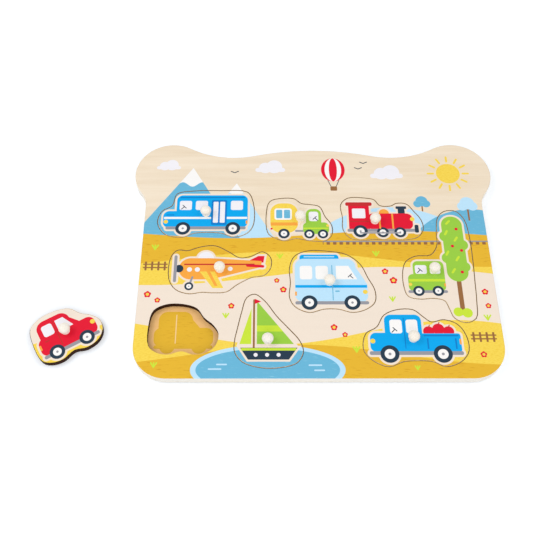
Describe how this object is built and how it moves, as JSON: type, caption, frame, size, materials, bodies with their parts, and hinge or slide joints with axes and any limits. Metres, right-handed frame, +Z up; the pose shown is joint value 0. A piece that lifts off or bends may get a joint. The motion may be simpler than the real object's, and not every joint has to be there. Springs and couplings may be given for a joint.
{
  "type": "wooden inset puzzle",
  "caption": "Toddler's plywood inset puzzle board with ears, contour recesses and knobbed vehicle inserts that lift out; one insert lies beside the board and its recess is empty.",
  "frame": {"origin": "middle of the board's underside, which lies on the table", "axes": "+X to the right along the board's width, +Y towards the edge with the ears, +Z up out of the printed face"},
  "size_m": [0.3686, 0.2134, 0.017],
  "materials": {
    "printed_board": "birch plywood, printed and satin varnished, burnt dark along the cuts",
    "backing": "plywood, bare underneath, with printed silhouettes on the recess floors",
    "bus_print": "plywood printed with a blue bus, satin varnish, burnt cut edges",
    "caravan_print": "plywood printed with a yellow caravan behind a green car, satin varnish, burnt cut edges",
    "locomotive_print": "plywood printed with a red steam locomotive, satin varnish, burnt cut edges",
    "van_print": "plywood printed with a green van beside a tall tree, satin varnish, burnt cut edges",
    "plane_print": "plywood printed with an orange propeller plane, satin varnish, burnt cut edges",
    "camper_print": "plywood printed with a light blue camper van, satin varnish, burnt cut edges",
    "pickup_print": "plywood printed with a blue pickup truck with red apples, satin varnish, burnt cut edges",
    "sailboat_print": "plywood printed with a green sailing boat, satin varnish, burnt cut edges",
    "car_print": "plywood printed with a red car, satin varnish, burnt cut edges",
    "knob_wood": "turned light beech, fine sanded"
  },
  "bodies": {
    "board": {"top_board": "printed_board", "back_board": "backing"},
    "bus": {"bus_insert": "bus_print", "bus_knob": "knob_wood"},
    "caravan": {"caravan_insert": "caravan_print", "caravan_knob": "knob_wood"},
    "locomotive": {"locomotive_insert": "locomotive_print", "locomotive_knob": "knob_wood"},
    "van": {"van_insert": "van_print", "van_knob": "knob_wood"},
    "plane": {"plane_insert": "plane_print", "plane_knob": "knob_wood"},
    "camper": {"camper_insert": "camper_print", "camper_knob": "knob_wood"},
    "pickup": {"pickup_insert": "pickup_print", "pickup_knob": "knob_wood"},
    "sailboat": {"sailboat_insert": "sailboat_print", "sailboat_knob": "knob_wood"},
    "car": {"car_insert": "car_print", "car_knob": "knob_wood"}
  },
  "joints": [
    {"name": "bus_lift", "type": "slide", "parent": "board", "child": "bus", "axis": [0, 0, 1], "range_m": [0, 0.04]},
    {"name": "caravan_lift", "type": "slide", "parent": "board", "child": "caravan", "axis": [0, 0, 1], "range_m": [0, 0.04]},
    {"name": "locomotive_lift", "type": "slide", "parent": "board", "child": "locomotive", "axis": [0, 0, 1], "range_m": [0, 0.04]},
    {"name": "van_lift", "type": "slide", "parent": "board", "child": "van", "axis": [0, 0, 1], "range_m": [0, 0.04]},
    {"name": "plane_lift", "type": "slide", "parent": "board", "child": "plane", "axis": [0, 0, 1], "range_m": [0, 0.04]},
    {"name": "camper_lift", "type": "slide", "parent": "board", "child": "camper", "axis": [0, 0, 1], "range_m": [0, 0.04]},
    {"name": "pickup_lift", "type": "slide", "parent": "board", "child": "pickup", "axis": [0, 0, 1], "range_m": [0, 0.04]},
    {"name": "sailboat_lift", "type": "slide", "parent": "board", "child": "sailboat", "axis": [0, 0, 1], "range_m": [0, 0.04]},
    {"name": "car_lift", "type": "slide", "parent": "board", "child": "car", "axis": [0, 0, 1], "range_m": [0, 0.04]}
  ]
}
